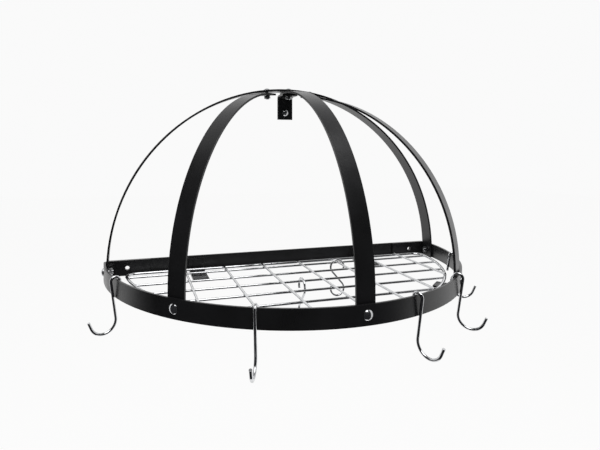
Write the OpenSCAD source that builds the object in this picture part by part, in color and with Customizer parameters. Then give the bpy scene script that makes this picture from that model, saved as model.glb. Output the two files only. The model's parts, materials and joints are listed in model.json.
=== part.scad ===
// Wall-hung half-dome pot rack: flat-bar ring, arch and ribs, a wire shelf and sliding hooks.
// Millimetres. The wall is the plane y = 0, the room is at -y, and z is up.
// The origin is midway between the two wall-screw holes, on the wall.
// Angles round the ring start at its left end and pass through the front, which is 90.

/* [Flat bar] */
// Width of the flat bar that the whole frame is bent from
bar_w = 25.4; // [24:0.2:26]
// Thickness of the flat bar
bar_t = 3.2; // [3:0.1:3.4]

/* [Ring and rail] */
// Outer radius of the half-round ring
ring_r = 305; // [300:1:310]
// Outer radius of the bend at each back corner of the ring
ring_bend_r = 8; // [7:0.5:9]
// Distance from the middle of the rail to the inner end of each ring tab
tab_end_x = 231; // [210:1:250]
// Distance from the middle of the rail to each wall-screw hole
wall_hole_x = 268; // [255:1:275]
// Diameter of the wall-screw holes
wall_hole_d = 7; // [5:0.5:8]
// Half the length of the back rail
rail_half = 300; // [297:0.5:303]

/* [Arch and ribs] */
// Height of the straight feet of the back arch
arch_leg = 16; // [14:0.5:18]
// Gap from the wall to the back edge of the arch
arch_gap = 9.6; // [9.4:0.2:12]
// Bend radius of the outer face of the three ribs
rib_r = 276; // [272:0.5:277]
// Angle round the ring of the left rib's foot
rib_left_angle = 46.5; // [45:0.5:48]
// Angle round the ring of the right rib's foot
rib_right_angle = 134; // [133:0.5:135]
// Sideways place of the middle rib and the wall bracket
middle_x = 9; // [0:0.5:10]
// Distance between neighbouring crown bolts
crown_pitch = 41; // [40:0.5:42]
// Length of the shelf ledge bent inwards at the foot of each rib
ledge_len = 33; // [30:1:36]

/* [Wall bracket] */
// Width of the wall bracket
bracket_w = 28; // [25:0.5:29]
// Height of the wall bracket
bracket_h = 44; // [40:1:50]
// Height of the bracket's screw above its lower edge
bracket_screw_up = 12.5; // [10:0.5:16]

/* [Shelf] */
// Diameter of the wire round the rim of the shelf
rim_d = 4.8; // [4.4:0.1:5]
// Diameter of the long and cross wires
wire_d = 3.6; // [3:0.1:4]
// Radius of the half-round rim, to the middle of its wire
rim_r = 276; // [272:1:277]
// Radius of the rim's back corners, to the middle of its wire
rim_bend_r = 16; // [10:1:20]
// Distance from the wall to the back wire of the rim
rim_back = 21; // [18:1:24]
// Sideways place of the shelf in the ring
shelf_x = 5; // [0:1:6]
// Sideways place of the leftmost cross wire
cross_first_x = -176; // [-190:1:-170]
// Pitch of the cross wires, which run from front to back
cross_pitch = 66.5; // [60:0.5:68]
// Distance from the wall to the first long wire
long_first = 43; // [40:1:48]
// Pitch of the long wires, which run along the wall
long_pitch = 45; // [40:0.5:48]
// Distance of each back support from the middle of the rail
support_x = 154; // [140:1:170]
// Reach of the back supports from the wall
support_reach = 68; // [60:1:80]

/* [Hooks] */
// Diameter of the ring hooks' wire
hook_d = 4; // [3.6:0.1:4.2]
// Radius of the loop over the ring, to the middle of the wire
hook_loop_r = 6.4; // [6.3:0.1:7]
// Slope of the long leg, from upright
hook_slope = 8; // [6:0.5:9]
// Length of the straight part of the long leg
hook_leg = 50; // [40:1:60]
// Radius of the lower bend, to the middle of the wire
hook_bend_r = 17.5; // [14:0.5:22]
// Angle that the lower bend turns through
hook_turn = 165; // [150:1:175]
// Length of the straight tip past the lower bend
hook_tip = 10; // [4:1:16]
// Angles round the ring of the five ring hooks
hook_angles = [22, 66.5, 106.5, 130, 157];
// Diameter of the shelf hooks' wire
s_wire_d = 3.6; // [3:0.1:4]
// Radius of both bends of the shelf hooks, to the middle of the wire
s_bend_r = 12.5; // [11:0.5:14]
// Distance between the centres of the two bends of the shelf hooks
s_spread = 38; // [32:1:44]

/* [Fasteners] */
// Diameter of the bolts
bolt_d = 6; // [5:0.1:6]
// Diameter of the bracket's wall screw
screw_d = 5; // [4:0.1:5.2]
// Diameter of the domed bolt heads
head_d = 13; // [11:0.5:14]
// Height of the domed bolt heads
head_h = 3.6; // [3:0.1:4]
// Size of the hexagon nuts across the flats
nut_af = 10; // [9:0.5:10]
// Thickness of the hexagon nuts
nut_h = 5; // [4:0.5:5]

/* [Hidden] */
$fn = 96;
seat_gap = 0.1;
hole_gap = 0.4;
move_gap = 0.3;
weld = 0.3;
lap = 0.3;
lap_step = 0.02;
thread_end = 1.5;
slot_len = 5.2;
slot_w = 1;
slot_depth = 1.8;
head_rim = 0.6;
bolt_hole_d = bolt_d + hole_gap;
nut_corner = nut_af / 2 / cos(30);

// Ring: centred on the wall plane, its tabs in front of the rail
ring_in = ring_r - bar_t;
foot_r = ring_in - 1.4;

// Arch: its feet stand inside the ring and its back edge clears the wall bracket's screw
arch_mid = arch_gap + bar_w / 2;
arch_r = sqrt(pow(ring_in, 2) - pow(arch_gap + bar_w, 2)) - seat_gap;
arch_under_r = arch_r - bar_t;
arch_foot_angle = asin(arch_mid / ring_in);

// Ribs: bolted inside the ring at the foot and under the arch at the crown
foot_bend_r = 5;
rib_tail = 12;
middle_angle = 90 + asin(middle_x / foot_r);
rib_angles = [rib_left_angle, middle_angle, rib_right_angle];
crown_x = [middle_x - crown_pitch, middle_x, middle_x + crown_pitch];
bolt_angles = [arch_foot_angle, each rib_angles, 180 - arch_foot_angle];

// Level run of rib i from its foot to its crown bolt, and its shares along and out from the wall
function on_ring(angle, r) = [-r * cos(angle), -r * sin(angle)];
function rib_run(i) = [crown_x[i], -arch_mid] - on_ring(rib_angles[i], foot_r);
function run_along(i) = abs(rib_run(i).x) / norm(rib_run(i));
function run_out(i) = rib_run(i).y / norm(rib_run(i));

// Slope of the arch where rib i crosses it, and how far the flat rib stays under its curve there
function arch_slope(i) = abs(crown_x[i]) / arch_under_r;
function rib_slope(i) = atan(arch_slope(i) * run_along(i));
function cross_reach(i) = bar_w / 2 * (1 + run_along(i)) / run_out(i);
function arch_curve_drop(i) = pow(cross_reach(i), 2) / (2 * arch_under_r);
function rib_drop(i) = arch_slope(i) * run_out(i) * bar_w / 2 + arch_curve_drop(i) + seat_gap;

// Height of rib i's upper face at its crown bolt, its straight end and its upright leg
function crown_z(i) = arch_leg + sqrt(pow(arch_under_r, 2) - pow(crown_x[i], 2)) - rib_drop(i);
function rib_straight(i) = (norm(rib_run(i)) - rib_r * (1 - sin(rib_slope(i)))) / cos(rib_slope(i));
function rib_leg(i) = crown_z(i) - rib_r * cos(rib_slope(i)) - rib_straight(i) * sin(rib_slope(i));

// Depth from the outer face of the bar under each bolt's head to the top of its nut
ring_grip = 2 * bar_t + 2;
function bracket_grip(i) = i == 1 ? bar_t + 2 * seat_gap : 0;
function crown_grip(i) = 2 * bar_t + rib_drop(i) + bracket_grip(i) + arch_slope(i) * nut_corner + seat_gap;

// Wall bracket: bolted under the middle rib and turned down against the wall
bracket_top = crown_z(1) - bar_t - seat_gap;
bracket_reach = arch_mid + 8.5;
bracket_bend_r = 6;
bracket_screw_z = bracket_top - bracket_h + bracket_screw_up;

// Shelf: the rim lies on the ledges, the long wires are level with it, the cross wires on top
rim_z = bar_t + move_gap + rim_d / 2;
cross_z = rim_z + wire_d - weld;
cross_count = 7;
long_count = 5;

// Hooks: a ring hook hangs by its loop on the top edge of the ring and leans inwards
hook_loop_x = -0.7;
hook_clear_r = hook_loop_r - hook_d / 2 - move_gap;
hook_loop_z = bar_w - sqrt(pow(hook_clear_r, 2) - pow(bar_t + hook_loop_x, 2));
hook_inner_leg = 26;
s_overlap = 25;
s_hook_drop = s_bend_r - wire_d / 2 - move_gap - s_wire_d / 2;
s_hook_back = [cross_first_x + 4 * cross_pitch, -52, cross_z];
s_hook_front = [-8, -long_first - 2 * long_pitch, rim_z];

// Puts the origin level with the wall-screw holes; the modules draw from the ring's lower edge
module place() {
    translate([0, 0, -bar_w / 2]) children();
}

// Section of the flat bar, with its outer face at x = 0, or thinner by step on both faces
module bar_section(step = 0) {
    translate([step - bar_t, 0]) square([bar_t - 2 * step, bar_w]);
}

// Half-round bow along the wall with bent corners; its section's x points outwards. Its corners and
// tabs take the second section, a lap_step thinner, and start a lap inside the bow, so they join cleanly
module bow(r, bend_r, back, end_x) {
    turn = asin((back + bend_r) / (r - bend_r));
    bend_x = (r - bend_r) * cos(turn);
    lap_turn = lap / bend_r * 180 / PI;
    rotate([0, 0, 180 + turn]) rotate_extrude(angle = 180 - 2 * turn) translate([r, 0]) children(0);
    for (side = [0, 1]) mirror([side, 0, 0]) translate([-bend_x, -back - bend_r, 0]) {
        rotate([0, 0, 90]) rotate_extrude(angle = 90 + turn + lap_turn) translate([bend_r, 0]) children(1);
        translate([0, bend_r, 0]) rotate([90, 0, 90]) linear_extrude(bend_x - end_x) children(1);
    }
}

// Puts its children on the ring's outer face, with x pointing outwards
module at_ring(angle, r = ring_r) {
    rotate([0, 0, 180 + angle]) translate([r, 0, 0]) children();
}

// Puts its children on the arch's outer face at crown bolt i, with z pointing outwards
module at_crown(i) {
    translate([0, -arch_mid, arch_leg]) rotate([0, asin(crown_x[i] / arch_r), 0])
        translate([0, 0, arch_r]) children();
}

module ring_bolt_holes() {
    for (angle = bolt_angles) at_ring(angle) translate([-bar_w / 2, 0, bar_w / 2])
        rotate([0, 90, 0]) cylinder(h = bar_w, d = bolt_hole_d);
}

module crown_bolt_hole(i) {
    at_crown(i) translate([0, 0, -bar_w / 2]) cylinder(h = bar_w, d = bolt_hole_d);
}

module wall_holes() {
    for (side = [-1, 1]) translate([side * wall_hole_x, bar_t, bar_w / 2])
        rotate([90, 0, 0]) cylinder(h = 4 * bar_t, d = wall_hole_d);
}

// Straight flat bar that rises from the origin, its outer face at x = 0; children go on from its end
module bar_run(len, step = 0) {
    translate([step, -bar_w / 2, 0]) cube([bar_t - 2 * step, bar_w, len]);
    translate([0, 0, len]) children();
}

// Flat bar bent towards +x with its outer face at radius r; children go on from its end
module bar_bend(r, turn) {
    translate([r, 0, 0]) {
        rotate([90, 0, 0]) mirror([1, 0, 0]) rotate_extrude(angle = turn)
            translate([r - bar_t, -bar_w / 2]) square([bar_t, bar_w]);
        rotate([0, turn, 0]) translate([-r, 0, 0]) children();
    }
}

// Straight wire that rises from the origin; children go on from its end
module wire_run(len, d) {
    cylinder(h = len, d = d);
    translate([0, 0, len]) children();
}

// Wire bent towards +x at radius r; children go on from its end
module wire_bend(r, turn, d) {
    translate([r, 0, 0]) {
        rotate([90, 0, 0]) mirror([1, 0, 0]) rotate_extrude(angle = turn)
            translate([r, 0]) circle(d = d);
        rotate([0, turn, 0]) translate([-r, 0, 0]) children();
    }
}

module front_ring() {
    color("#16171a") place() difference() {
        bow(ring_r, ring_bend_r, bar_t, tab_end_x) {
            bar_section();
            bar_section(lap_step);
        }
        ring_bolt_holes();
        wall_holes();
    }
}

module back_rail() {
    color("#16171a") place() difference() {
        translate([-rail_half, -bar_t, 0]) cube([2 * rail_half, bar_t, bar_w]);
        wall_holes();
    }
}

// Flat bar bent to an L: its foot lies along -y at z = 0 and its upright rises from y = 0
module bent_plate(w, reach, height, bend_r) {
    translate([-w / 2, -reach, 0]) cube([w, reach - bend_r, bar_t]);
    translate([-w / 2, -bar_t, bend_r]) cube([w, bar_t, height - bend_r]);
    translate([-w / 2, -bend_r, bend_r]) rotate([90, 0, 90]) rotate([0, 0, -90])
        rotate_extrude(angle = 90) translate([bend_r - bar_t, 0]) square([bar_t, w]);
}

// Angle piece welded to the rail: its foot carries the back of the shelf
module support(x) {
    color("#16171a") place() translate([x, -bar_t, 0])
        bent_plate(bar_w, support_reach - bar_t, bar_w - bar_t, foot_bend_r);
}

module back_arch() {
    color("#16171a") place() difference() {
        translate([-arch_r, -arch_mid, 0]) bar_run(arch_leg) bar_bend(arch_r, 180) bar_run(arch_leg);
        ring_bolt_holes();
        for (i = [0:2]) crown_bolt_hole(i);
    }
}

// Rib: ledge, foot bend, upright leg, quarter bend and a straight end under the arch
module rib(i) {
    foot = on_ring(rib_angles[i], foot_r);
    color("#16171a") place() difference() {
        translate([foot.x, foot.y, foot_bend_r]) rotate([0, 0, atan2(rib_run(i).y, rib_run(i).x)]) {
            bar_run(rib_leg(i) - foot_bend_r) bar_bend(rib_r, 90 - rib_slope(i))
                translate([0, 0, -lap]) bar_run(lap + rib_straight(i) + rib_tail, lap_step);
            mirror([0, 0, 1]) bar_bend(foot_bend_r, 90) bar_run(ledge_len - foot_bend_r);
        }
        ring_bolt_holes();
        crown_bolt_hole(i);
    }
}

module wall_bracket() {
    color("#16171a") place() difference() {
        translate([middle_x, 0, bracket_top]) mirror([0, 0, 1])
            bent_plate(bracket_w, bracket_reach, bracket_h, bracket_bend_r);
        crown_bolt_hole(1);
        translate([middle_x, bar_t, bracket_screw_z]) rotate([90, 0, 0])
            cylinder(h = 3 * bar_t, d = screw_d + hole_gap);
    }
}

// Low dome on a thin rim, rising from z = 0
module dome_head(d, h) {
    dome_h = h - head_rim;
    ball_r = (pow(d / 2, 2) + pow(dome_h, 2)) / (2 * dome_h);
    cylinder(h = head_rim, d = d);
    intersection() {
        translate([0, 0, head_rim + dome_h - ball_r]) sphere(r = ball_r);
        translate([0, 0, head_rim]) cylinder(h = h, d = d);
    }
}

// Bolt with its head's seat at z = 0 and its shank pointing down
module bolt(len) {
    dome_head(head_d, head_h);
    translate([0, 0, -len]) cylinder(h = len + head_rim / 2, d = bolt_d);
}

// Hexagon nut with rounded-off corners, its upper face at z = 0
module nut() {
    difference() {
        intersection() {
            translate([0, 0, -nut_h]) cylinder(h = nut_h, d = nut_af / cos(30), $fn = 6);
            translate([0, 0, -nut_h / 2]) sphere(d = nut_af * 1.2);
        }
        translate([0, 0, -nut_h - 1]) cylinder(h = nut_h + 2, d = bolt_d + seat_gap);
    }
}

module ring_bolts() {
    color("#d6d8da") place() for (angle = bolt_angles)
        at_ring(angle) translate([seat_gap, 0, bar_w / 2]) rotate([0, 90, 0])
            bolt(ring_grip + nut_h + thread_end);
}

module ring_nuts() {
    color("#d6d8da") place() for (angle = bolt_angles)
        at_ring(angle) translate([-ring_grip, 0, bar_w / 2]) rotate([0, 90, 0]) nut();
}

module crown_bolts() {
    color("#d6d8da") place() for (i = [0:2])
        at_crown(i) translate([0, 0, seat_gap]) bolt(crown_grip(i) + nut_h + thread_end);
}

module crown_nuts() {
    color("#d6d8da") place() for (i = [0:2]) at_crown(i) translate([0, 0, -crown_grip(i)]) nut();
}

// Round-head wall screw with a cross recess, its shank ending flush with the wall plane
module bracket_screw() {
    color("#d6d8da") place() translate([middle_x, -bar_t - seat_gap, bracket_screw_z])
        rotate([90, 0, 0]) difference() {
            union() {
                dome_head(head_d - 1, head_h);
                translate([0, 0, -bar_t]) cylinder(h = bar_t + head_rim, d = screw_d);
            }
            for (turn = [0, 90]) rotate([0, 0, turn + 20])
                translate([-slot_len / 2, -slot_w / 2, head_h - slot_depth]) cube([slot_len, slot_w, head_h]);
        }
}

module shelf_rim() {
    color("#cfd2d4") place() translate([shelf_x, 0, rim_z])
        bow(rim_r, rim_bend_r, rim_back, 0) {
            circle(d = rim_d);
            circle(d = rim_d - 2 * lap_step);
        }
}

module shelf_long_wires() {
    color("#cfd2d4") place() for (i = [0:long_count - 1]) {
        y = long_first + i * long_pitch;
        half = sqrt(pow(rim_r, 2) - pow(y, 2)) - rim_d / 4;
        translate([shelf_x - half, -y, rim_z]) rotate([0, 90, 0]) cylinder(h = 2 * half, d = wire_d);
    }
}

module shelf_cross_wires() {
    color("#cfd2d4") place() for (i = [0:cross_count - 1]) {
        x = cross_first_x + i * cross_pitch;
        front = sqrt(pow(rim_r, 2) - pow(x - shelf_x, 2));
        translate([x, -rim_back + rim_d / 4, cross_z]) rotate([90, 0, 0])
            cylinder(h = front - rim_back + rim_d / 2, d = wire_d);
    }
}

// Ring hook: a loop over the ring's edge with a short leg inside, a long leg and a bend that opens outwards
module ring_hook(angle) {
    color("#d6d8da") place() at_ring(angle) translate([hook_loop_x, 0, hook_loop_z])
        rotate([0, hook_slope, 0]) translate([-hook_loop_r, 0, -hook_inner_leg])
            wire_run(hook_inner_leg, hook_d) wire_bend(hook_loop_r, 180, hook_d)
                wire_run(hook_leg, hook_d) rotate([0, 0, 180]) wire_bend(hook_bend_r, hook_turn, hook_d)
                    translate([0, 0, -lap]) wire_run(lap + hook_tip, hook_d - 2 * lap_step);
}

// Shelf hook: two opposite bends and a slanting straight, hung on a wire that runs along y at the origin
module shelf_hook() {
    slant = asin(2 * s_bend_r / s_spread);
    color("#d6d8da") translate([0, 0, -s_hook_drop - s_spread / 2])
        for (flip = [0, 180]) rotate([0, flip - slant, 0])
            wire_run(s_spread / 2 * cos(slant), s_wire_d)
                wire_bend(s_bend_r, 180 + slant + s_overlap, s_wire_d);
}

module shelf_hook_back() {
    place() translate(s_hook_back) shelf_hook();
}

module shelf_hook_front() {
    place() translate(s_hook_front) rotate([0, 0, 90]) shelf_hook();
}

front_ring();
back_rail();
support(-support_x);  // support_left
support(support_x);  // support_right
back_arch();
rib(0);  // rib_left
rib(1);  // rib_middle
rib(2);  // rib_right
wall_bracket();
bracket_screw();
ring_bolts();
ring_nuts();
crown_bolts();
crown_nuts();
shelf_rim();
shelf_long_wires();
shelf_cross_wires();
ring_hook(hook_angles[0]);  // hook_left
ring_hook(hook_angles[1]);  // hook_front_left
ring_hook(hook_angles[2]);  // hook_front_right
ring_hook(hook_angles[3]);  // hook_right
ring_hook(hook_angles[4]);  // hook_back_right
shelf_hook_back();
shelf_hook_front();
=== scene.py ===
# Half-dome wall pot rack: black powder coated flat bar, plated wire shelf and plated hooks.
# The frame's own axes: the wall is y = 0, the room is at -y and z is up.
# Finishes and pieces are given in mm, the studio and the camera's place in metres.
import json
import math

import bmesh
import bpy
from mathutils import Matrix, Vector


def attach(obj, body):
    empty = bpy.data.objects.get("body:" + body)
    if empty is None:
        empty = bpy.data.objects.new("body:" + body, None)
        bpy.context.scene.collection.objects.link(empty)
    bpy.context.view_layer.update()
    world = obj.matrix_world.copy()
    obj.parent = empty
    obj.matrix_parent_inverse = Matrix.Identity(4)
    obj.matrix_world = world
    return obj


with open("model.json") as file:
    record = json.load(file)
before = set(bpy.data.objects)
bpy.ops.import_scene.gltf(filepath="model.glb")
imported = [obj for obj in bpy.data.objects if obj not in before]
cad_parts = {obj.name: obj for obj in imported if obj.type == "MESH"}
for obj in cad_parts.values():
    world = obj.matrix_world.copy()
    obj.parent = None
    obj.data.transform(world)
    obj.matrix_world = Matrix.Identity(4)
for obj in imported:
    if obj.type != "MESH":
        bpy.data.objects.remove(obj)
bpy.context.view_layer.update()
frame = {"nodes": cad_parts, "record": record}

mm = 0.001


def hexToLinear(code):
    channels = [int(code[i:i + 2], 16) / 255 for i in (1, 3, 5)]
    return [c / 12.92 if c <= 0.04045 else ((c + 0.055) / 1.055) ** 2.4 for c in channels] + [1]


def addNode(tree, kind, settings={}, values={}, links={}):
    node = tree.nodes.new(kind)
    for name, value in settings.items():
        setattr(node, name, value)
    for name, value in values.items():
        node.inputs[name].default_value = value
    for name, source in links.items():
        tree.links.new(source, node.inputs[name])
    return node


def newMaterial(name):
    material = bpy.data.materials.new(name)
    material.use_nodes = True
    tree = material.node_tree
    tree.nodes.clear()
    return material, tree


def finishMaterial(tree, shader):
    addNode(tree, "ShaderNodeOutputMaterial", links={"Surface": shader.outputs[0]})


powderCoat = {
    "dark": "#111112",
    "light": "#18181a",
    "toneFrom": 0.35,  # noise levels between which dark turns to light
    "toneTo": 0.65,
    "ior": 1.48,
    "roughLow": 0.26,
    "roughHigh": 0.36,
    "roughFrom": 0.3,  # noise levels between which the roughness changes
    "roughTo": 0.7,
    "patchMm": 70,  # slow drift in film thickness
    "patchDetail": 3,
    "patchGrit": 0.5,
    "peelMm": 2.2,  # orange peel, drawn a little coarse so that it shows
    "peelDetail": 2,
    "peelGrit": 0.45,
    "peelDepthMm": 0.02,
    "peelStrength": 0.6,
    "edgeMm": 0.6,  # rolled edge of the bar under the film
    "edgeSamples": 6,
}


# Semi-gloss black powder coat on hot-rolled flat bar: soft broad reflections, faint orange peel
def makePowderCoat(look):
    material, tree = newMaterial("semiGlossBlackPowderCoat")
    place = addNode(tree, "ShaderNodeTexCoord").outputs["Object"]
    patch = addNode(tree, "ShaderNodeTexNoise",
                    values={"Scale": 1 / (look["patchMm"] * mm), "Detail": look["patchDetail"],
                            "Roughness": look["patchGrit"]},
                    links={"Vector": place})
    tone = addNode(tree, "ShaderNodeValToRGB", links={"Fac": patch.outputs["Fac"]})
    tone.color_ramp.elements[0].position = look["toneFrom"]
    tone.color_ramp.elements[0].color = hexToLinear(look["dark"])
    tone.color_ramp.elements[1].position = look["toneTo"]
    tone.color_ramp.elements[1].color = hexToLinear(look["light"])
    sheen = addNode(tree, "ShaderNodeMapRange",
                    values={"From Min": look["roughFrom"], "From Max": look["roughTo"],
                            "To Min": look["roughLow"], "To Max": look["roughHigh"]},
                    links={"Value": patch.outputs["Fac"]})
    peel = addNode(tree, "ShaderNodeTexNoise",
                   values={"Scale": 1 / (look["peelMm"] * mm), "Detail": look["peelDetail"],
                           "Roughness": look["peelGrit"]},
                   links={"Vector": place})
    edge = addNode(tree, "ShaderNodeBevel", settings={"samples": look["edgeSamples"]},
                   values={"Radius": look["edgeMm"] * mm})
    bump = addNode(tree, "ShaderNodeBump",
                   values={"Strength": look["peelStrength"], "Distance": look["peelDepthMm"] * mm},
                   links={"Height": peel.outputs["Fac"], "Normal": edge.outputs[0]})
    shader = addNode(tree, "ShaderNodeBsdfPrincipled", values={"IOR": look["ior"]},
                     links={"Base Color": tone.outputs[0], "Roughness": sheen.outputs[0],
                            "Normal": bump.outputs[0]})
    finishMaterial(tree, shader)
    return material


brightPlate = {
    "colour": "#dcdddf",
    "dull": "#c4c5c6",
    "toneFrom": 0.3,  # noise levels between which dull turns to the full colour
    "toneTo": 0.6,
    "roughLow": 0.07,
    "roughHigh": 0.16,
    "roughFrom": 0.3,  # noise levels between which the roughness changes
    "roughTo": 0.7,
    "patchMm": 12,
    "patchDetail": 4,
    "patchGrit": 0.6,
    "drawMm": 0.9,  # drawing marks, coarser than real so that they show
    "drawDetail": 2,
    "drawGrit": 0.5,
    "drawDepthMm": 0.006,
    "drawStrength": 0.5,
    "edgeMm": 0.25,
    "edgeSamples": 6,
}

# The plate on the fasteners is rougher in places
boltedPlate = {**brightPlate, "roughHigh": 0.2}

# The plate over the spot welds is greyer, rougher and more finely patched
weldedPlate = {
    **brightPlate,
    "dull": "#a9aaab",
    "roughLow": 0.14,
    "roughHigh": 0.30,
    "patchMm": 2,
}


# Bright nickel-chrome plate on drawn wire and on the fasteners: sharp reflections, faint waves
def makeBrightPlate(name, look):
    material, tree = newMaterial(name)
    place = addNode(tree, "ShaderNodeTexCoord").outputs["Object"]
    patch = addNode(tree, "ShaderNodeTexNoise",
                    values={"Scale": 1 / (look["patchMm"] * mm), "Detail": look["patchDetail"],
                            "Roughness": look["patchGrit"]},
                    links={"Vector": place})
    tone = addNode(tree, "ShaderNodeValToRGB", links={"Fac": patch.outputs["Fac"]})
    tone.color_ramp.elements[0].position = look["toneFrom"]
    tone.color_ramp.elements[0].color = hexToLinear(look["dull"])
    tone.color_ramp.elements[1].position = look["toneTo"]
    tone.color_ramp.elements[1].color = hexToLinear(look["colour"])
    haze = addNode(tree, "ShaderNodeMapRange",
                   values={"From Min": look["roughFrom"], "From Max": look["roughTo"],
                           "To Min": look["roughHigh"], "To Max": look["roughLow"]},
                   links={"Value": patch.outputs["Fac"]})
    marks = addNode(tree, "ShaderNodeTexNoise",
                    values={"Scale": 1 / (look["drawMm"] * mm), "Detail": look["drawDetail"],
                            "Roughness": look["drawGrit"]},
                    links={"Vector": place})
    edge = addNode(tree, "ShaderNodeBevel", settings={"samples": look["edgeSamples"]},
                   values={"Radius": look["edgeMm"] * mm})
    bump = addNode(tree, "ShaderNodeBump",
                   values={"Strength": look["drawStrength"], "Distance": look["drawDepthMm"] * mm},
                   links={"Height": marks.outputs["Fac"], "Normal": edge.outputs[0]})
    shader = addNode(tree, "ShaderNodeBsdfPrincipled", values={"Metallic": 1},
                     links={"Base Color": tone.outputs[0], "Roughness": haze.outputs[0],
                            "Normal": bump.outputs[0]})
    finishMaterial(tree, shader)
    return material


blackCoat = makePowderCoat(powderCoat)
wirePlate = makeBrightPlate("brightChromePlateOnWire", brightPlate)
boltPlate = makeBrightPlate("brightChromePlateOnBolts", boltedPlate)
weldPlate = makeBrightPlate("brightChromePlateOnWelds", weldedPlate)
slotMaterials = {"bar_coat": blackCoat, "wire_plate": wirePlate, "bolt_plate": boltPlate}
print("finishes made")

# Every CAD node takes the finish of its slot
for part in frame["record"]["subparts"]:
    node = frame["nodes"][part["node"]]
    node.data.materials.clear()
    node.data.materials.append(slotMaterials[part["material_slot"]])
print("finishes given to", len(frame["nodes"]), "nodes")


def makePiece(name, bm, material, body):
    bmesh.ops.recalc_face_normals(bm, faces=bm.faces)
    for face in bm.faces:
        face.smooth = True
    mesh = bpy.data.meshes.new(name)
    bm.to_mesh(mesh)
    bm.free()
    mesh.materials.append(material)
    piece = bpy.data.objects.new(name, mesh)
    bpy.context.scene.collection.objects.link(piece)
    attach(piece, body)
    return piece


# A rounded blob of weld metal, centre and half sizes in mm
def addBlob(bm, centre, halves, around, upward):
    size = Matrix.Diagonal([h * mm for h in halves] + [1])
    bmesh.ops.create_uvsphere(bm, u_segments=around, v_segments=upward, radius=1,
                              matrix=Matrix.Translation(Vector(centre) * mm) @ size)


shelfWelds = {
    "crossFirst": -176,
    "crossPitch": 66.5,
    "crossCount": 7,
    "longFirst": -43,
    "longPitch": -45,
    "longCount": 5,
    "rimCentreX": 5,
    "rimRadius": 276,
    "rimBackY": -21,
    "rimHalf": 2.4,  # half the rim wire's thickness
    "wireGap": 1.7,  # wires nearer than this to the rim have no crossing of their own
    "crossingZ": -5.15,
    "crossing": (2.5, 2.5, 0.9),
    "rimTopZ": -4.7,
    "rimTop": (2.7, 2.7, 0.9),
    "rimSideZ": -6.8,
    "rimSide": (2.0, 2.3, 2.0),
    "around": 16,
    "upward": 8,
}


# Spot welds squeezed out where the shelf's wires cross and where they end on the rim
def makeShelfWelds(look):
    bm = bmesh.new()
    rim = look["rimRadius"]
    acrossX = [look["crossFirst"] + i * look["crossPitch"] for i in range(look["crossCount"])]
    alongY = [look["longFirst"] + i * look["longPitch"] for i in range(look["longCount"])]
    fine = (look["around"], look["upward"])
    for x in acrossX:
        front = -math.sqrt(rim ** 2 - (x - look["rimCentreX"]) ** 2)
        for y in alongY:
            if y > front + look["wireGap"]:
                addBlob(bm, (x, y, look["crossingZ"]), look["crossing"], *fine)
        for y in (look["rimBackY"], front):
            addBlob(bm, (x, y, look["rimTopZ"]), look["rimTop"], *fine)
    for y in alongY:
        half = math.sqrt(rim ** 2 - y ** 2) - look["rimHalf"]
        for x in (look["rimCentreX"] - half, look["rimCentreX"] + half):
            addBlob(bm, (x, y, look["rimSideZ"]), look["rimSide"], *fine)
    makePiece("shelfWelds", bm, weldPlate, "shelf")


supportWelds = {
    "centreX": 154,
    "halfWidth": 12.7,
    "railY": -3.2,
    "low": -4.5,
    "high": 8.7,
    "pitch": 1.3,
    "bead": (1.5, 1.4, 1.1),
    "offset": 0.5,  # of the bead's middle out of the corner
    "around": 14,
    "upward": 8,
}


# Rippled weld beads down both sides of each shelf support, coated with the bars
def makeSupportWelds(look):
    bm = bmesh.new()
    steps = int((look["high"] - look["low"]) / look["pitch"]) + 1
    for centre in (-look["centreX"], look["centreX"]):
        for side in (-1, 1):
            x = centre + side * (look["halfWidth"] + look["offset"])
            y = look["railY"] - look["offset"]
            for i in range(steps):
                z = look["low"] + i * look["pitch"]
                addBlob(bm, (x, y, z), look["bead"], look["around"], look["upward"])
    makePiece("supportWelds", bm, blackCoat, "frame")


boltThreads = {
    "ringAngles": (4.24, 46.5, 91.72, 134, 175.76),  # degrees round the ring from its left end
    "ringFromEnd": 1.4,  # from a ring bolt's end back to where its thread starts
    "crownCentre": (0, -22.3, 3.3),
    "crownRadius": 299.66,
    "crownX": (-32, 9, 50),
    "crownFromEnd": 1.5,
    "near": 4,  # points within this of a bolt's axis are taken as its own
    "boltRadius": 3,
    "root": 0.02,  # how far the ridge starts inside the bolt
    "depth": 0.25,
    "pitch": 0.75,
    "ridge": 0.9,  # share of the pitch that the ridge is wide
    "turns": 1,
    "steps": 20,  # per turn
}


# A point on a bolt, a given distance back from its end as the CAD node has it
def findThreadStart(node, centre, out, fromEnd, near):
    reach = []
    for vertex in frame["nodes"][node].data.vertices:
        place = vertex.co / mm - centre
        along = place.dot(out)
        if along > 0 and (place - out * along).length < near:
            reach.append(along)
    return centre + out * (min(reach) + fromEnd)


# One helical ridge round a bolt's end, from start along the axis
def addThread(bm, start, axis, look):
    across = axis.orthogonal().normalized()
    low = look["boltRadius"] - look["root"]
    high = look["boltRadius"] + look["depth"]
    wide = look["pitch"] * look["ridge"]
    profile = ((low, 0), (high, wide / 2), (low, wide))
    corners = [bm.verts.new((start + across * r + axis * s) * mm) for r, s in profile]
    face = bm.faces.new(corners)
    bmesh.ops.spin(bm, geom=corners + list(face.edges) + [face], cent=start * mm, axis=axis,
                   dvec=axis * (look["pitch"] / look["steps"] * mm),
                   angle=2 * math.pi * look["turns"], steps=look["steps"] * look["turns"])


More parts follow.
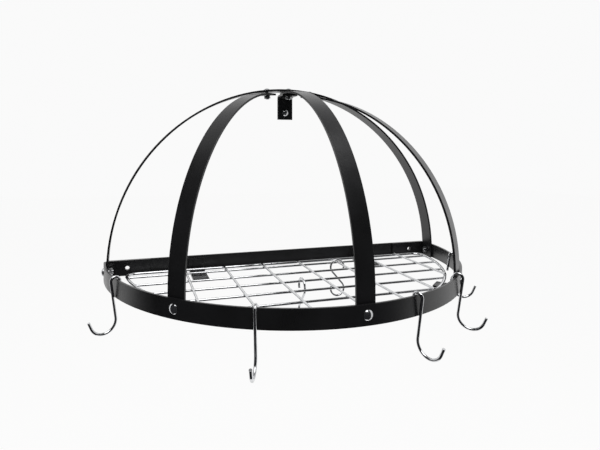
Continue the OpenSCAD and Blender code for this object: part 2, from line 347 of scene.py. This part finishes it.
def makeBoltThreads(look):
    bm = bmesh.new()
    for angle in look["ringAngles"]:
        out = Vector((-math.cos(math.radians(angle)), -math.sin(math.radians(angle)), 0))
        start = findThreadStart("ring_bolts", Vector(), out, look["ringFromEnd"], look["near"])
        addThread(bm, start, -out, look)
    centre = Vector(look["crownCentre"])
    for x in look["crownX"]:
        lean = math.asin(x / look["crownRadius"])
        out = Vector((math.sin(lean), 0, math.cos(lean)))
        start = findThreadStart("crown_bolts", centre, out, look["crownFromEnd"], look["near"])
        addThread(bm, start, -out, look)
    makePiece("boltThreads", bm, boltPlate, "frame")


makeShelfWelds(shelfWelds)
makeSupportWelds(supportWelds)
makeBoltThreads(boltThreads)
print("welds and threads made")

studio = {
    "floorZ": -0.75,
    "floorHalf": 9.0,
    "paper": "#f4f4f2",
    "cameraWhite": 0.90,  # share of plain white in the floor, to the camera and reflections
    "farWhite": 0.955,  # the room's level below the ceiling, to the camera and reflections
    "fill": 0.55,  # the room's level to everything else
    "ceilingFrom": 0.6,  # sines of the heights between which the room darkens to its ceiling
    "ceilingTo": 0.92,
    "ceiling": 0.32,
    "keyPlace": (-0.2, -0.9, 1.9),
    "keyTarget": (0, -0.15, 0.1),
    "keySize": 1.6,  # side of the square softbox
    "keyPower": 30,
    "clothInner": 0.45,
    "clothRadius": 2.6,
    "clothTop": 2.4,
    "clothLid": 1.3,  # radius that the cloth leans in to over the top
    "clothTurn": 27,  # degrees from straight out of the wall, towards the camera's side
    "clothHalfAngle": 82,
    "clothSteps": 48,
    "clothLift": 0.01,  # over the floor
    "clothLidRise": 0.2,
    "cloth": "#28282a",
}


# 1 for camera, glossy and transmission rays, and 0 for all others
def addWhiteTest(tree):
    path = addNode(tree, "ShaderNodeLightPath")
    seen = addNode(tree, "ShaderNodeMath", settings={"operation": "MAXIMUM"},
                   links={0: path.outputs["Is Camera Ray"], 1: path.outputs["Is Glossy Ray"]})
    return addNode(tree, "ShaderNodeMath", settings={"operation": "MAXIMUM"},
                   links={0: seen.outputs[0], 1: path.outputs["Is Transmission Ray"]})


def makeFloor(look):
    material, tree = newMaterial("matteWhitePaper")
    paper = addNode(tree, "ShaderNodeBsdfDiffuse", values={"Color": hexToLinear(look["paper"])})
    glow = addNode(tree, "ShaderNodeEmission", values={"Strength": 1})
    white = addWhiteTest(tree)
    share = addNode(tree, "ShaderNodeMath", settings={"operation": "MULTIPLY"},
                    values={1: look["cameraWhite"]}, links={0: white.outputs[0]})
    mix = addNode(tree, "ShaderNodeMixShader",
                  links={0: share.outputs[0], 1: paper.outputs[0], 2: glow.outputs[0]})
    finishMaterial(tree, mix)
    bm = bmesh.new()
    bmesh.ops.create_grid(bm, x_segments=1, y_segments=1, size=look["floorHalf"],
                          matrix=Matrix.Translation((0, 0, look["floorZ"])))
    mesh = bpy.data.meshes.new("studioFloor")
    bm.to_mesh(mesh)
    bm.free()
    mesh.materials.append(material)
    floor = bpy.data.objects.new("studioFloor", mesh)
    bpy.context.scene.collection.objects.link(floor)


# Dark cloth on the floor and behind the camera, which only reflections see
def makeCurtain(look):
    material, tree = newMaterial("darkCloth")
    cloth = addNode(tree, "ShaderNodeEmission",
                    values={"Color": hexToLinear(look["cloth"]), "Strength": 1})
    finishMaterial(tree, cloth)
    bm = bmesh.new()
    start = math.radians(-90 - look["clothTurn"] - look["clothHalfAngle"])
    low = look["floorZ"] + look["clothLift"]
    line = [(look["clothInner"], low), (look["clothRadius"], low),
            (look["clothRadius"], look["clothTop"]),
            (look["clothLid"], look["clothTop"] + look["clothLidRise"])]
    verts = [bm.verts.new((r * math.cos(start), r * math.sin(start), z)) for r, z in line]
    edges = [bm.edges.new(pair) for pair in zip(verts, verts[1:])]
    bmesh.ops.spin(bm, geom=verts + edges, cent=(0, 0, 0), axis=(0, 0, 1), steps=look["clothSteps"],
                   angle=math.radians(2 * look["clothHalfAngle"]))
    mesh = bpy.data.meshes.new("studioCurtain")
    bm.to_mesh(mesh)
    bm.free()
    mesh.materials.append(material)
    curtain = bpy.data.objects.new("studioCurtain", mesh)
    bpy.context.scene.collection.objects.link(curtain)
    curtain.visible_camera = False
    curtain.visible_diffuse = False
    curtain.visible_shadow = False


# To the camera and reflections a white room with a darker ceiling, to the rest one even level
def makeWorld(look):
    world = bpy.data.worlds.new("studioWorld")
    world.use_nodes = True
    tree = world.node_tree
    tree.nodes.clear()
    white = addWhiteTest(tree)
    direction = addNode(tree, "ShaderNodeTexCoord").outputs["Generated"]
    height = addNode(tree, "ShaderNodeSeparateXYZ", links={0: direction}).outputs["Z"]
    room = addNode(tree, "ShaderNodeMapRange",
                   values={"From Min": look["ceilingFrom"], "From Max": look["ceilingTo"],
                           "To Min": look["farWhite"], "To Max": look["ceiling"]},
                   links={"Value": height})
    level = addNode(tree, "ShaderNodeMapRange",
                    values={"From Min": 0, "From Max": 1, "To Min": look["fill"]},
                    links={"Value": white.outputs[0], "To Max": room.outputs[0]})
    sky = addNode(tree, "ShaderNodeBackground", links={"Strength": level.outputs[0]})
    sky.inputs["Color"].default_value = (1, 1, 1, 1)
    addNode(tree, "ShaderNodeOutputWorld", links={"Surface": sky.outputs[0]})
    bpy.context.scene.world = world


def addSoftbox(name, place, target, size, power):
    lamp = bpy.data.lights.new(name, "AREA")
    lamp.shape = "SQUARE"
    lamp.size = size
    lamp.energy = power
    box = bpy.data.objects.new(name, lamp)
    box.location = place
    box.rotation_euler = (Vector(target) - Vector(place)).to_track_quat("-Z", "Y").to_euler()
    box.visible_camera = False
    bpy.context.scene.collection.objects.link(box)


makeFloor(studio)
makeCurtain(studio)
makeWorld(studio)
addSoftbox("overheadSoftbox", studio["keyPlace"], studio["keyTarget"], studio["keySize"],
           studio["keyPower"])
print("studio set")

# The camera, as the photograph was taken
shot = {
    "place": (-0.2536, -0.7719, 0.1925),
    "yaw": 15.917,
    "rise": 0.387,
    "sensorMm": 36,
    "lensMm": 26.47,
    "shift": (0.0626, -0.1269),
}

lens = bpy.data.cameras.new("photographCamera")
lens.sensor_width = shot["sensorMm"]
lens.lens = shot["lensMm"]
lens.shift_x, lens.shift_y = shot["shift"]
camera = bpy.data.objects.new("photographCamera", lens)
camera.location = shot["place"]
camera.rotation_euler = (math.radians(90 + shot["rise"]), 0, math.radians(-shot["yaw"]))
bpy.context.scene.collection.objects.link(camera)
bpy.context.scene.camera = camera
bpy.context.scene.view_settings.view_transform = "Standard"
print("camera placed")
